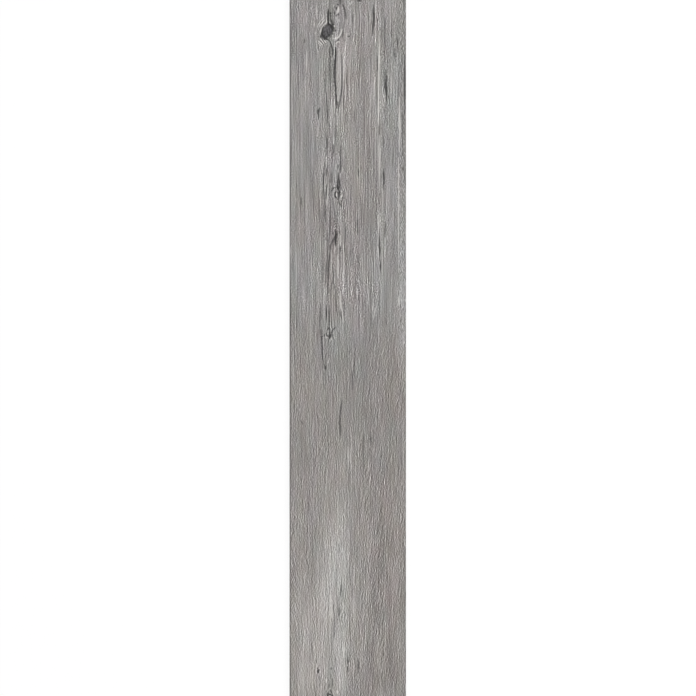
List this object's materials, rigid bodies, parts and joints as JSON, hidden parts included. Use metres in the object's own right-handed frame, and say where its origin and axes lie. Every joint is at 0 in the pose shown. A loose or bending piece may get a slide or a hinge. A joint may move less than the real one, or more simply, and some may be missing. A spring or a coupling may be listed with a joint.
{
  "type": "wood look porcelain plank tile",
  "caption": "Long flat porcelain tile with a grey wood look face, a fine ground bevel round it and a ribbed back, bedded in adhesive as floor or wall covering.",
  "frame": {"origin": "middle of the bedding side, on the plane that the back's ribs stand on", "axes": "+X across the plank, +Y along its length, +Z out of the printed face"},
  "size_m": [0.2, 1.2, 0.009],
  "materials": {
    "matte_glazed_porcelain": "matte"
  },
  "bodies": {
    "root": {"plank_tile": "matte_glazed_porcelain"}
  },
  "joints": []
}
